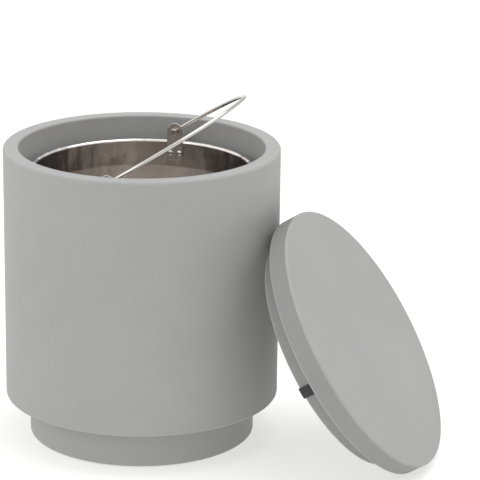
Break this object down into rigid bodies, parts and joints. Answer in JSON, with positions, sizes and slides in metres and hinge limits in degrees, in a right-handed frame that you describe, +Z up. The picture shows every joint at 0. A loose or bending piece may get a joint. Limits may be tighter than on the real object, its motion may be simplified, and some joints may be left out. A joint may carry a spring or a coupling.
{
  "type": "ice bucket side table",
  "caption": "Cast drum side table on a recessed plinth, with a lift-out steel ice bucket that has a wire bail and a loose plug lid leaning on its side.",
  "frame": {"origin": "on the drum's axis at the floor that the feet and the leaning lid stand on", "axes": "+Z up along the drum's axis, +X towards the leaning lid, the bail's hinge line along Y"},
  "size_m": [0.6485, 0.4163, 0.5112],
  "materials": {
    "cast_concrete": "matte",
    "bucket_steel": "satin",
    "wire_steel": "polished",
    "black_rubber": "matte",
    "zinc_steel": "satin",
    "brass": "satin"
  },
  "bodies": {
    "casing": {"casing_shell": "cast_concrete", "plinth": "cast_concrete", "plinth_screws": "zinc_steel", "plinth_washers": "zinc_steel", "plinth_inserts": "brass", "foot_pad_1": "black_rubber", "foot_pad_2": "black_rubber", "foot_pad_3": "black_rubber", "foot_pad_4": "black_rubber"},
    "bucket": {"bucket_shell": "bucket_steel", "rim_wire": "wire_steel", "ear_front": "bucket_steel", "ear_back": "bucket_steel", "ear_rivets": "wire_steel"},
    "bail": {"bail_handle": "wire_steel"},
    "lid": {"lid_shell": "cast_concrete", "lid_pad_1": "black_rubber", "lid_pad_2": "black_rubber", "lid_pad_3": "black_rubber", "lid_pad_4": "black_rubber"}
  },
  "joints": [
    {"name": "bucket_lift", "type": "slide", "parent": "casing", "child": "bucket", "axis": [0, 0, 1], "range_m": [0, 0.37]},
    {"name": "bail_swing", "type": "hinge", "parent": "bucket", "child": "bail", "pos_m": [0, 0, 0.4165], "axis": [0, -1, 0], "range_deg": [-41.5, 156.9]},
    {"name": "lid_lift", "type": "slide", "parent": "casing", "child": "lid", "axis": [0, 0, 1], "range_m": [0, 0.52]}
  ]
}
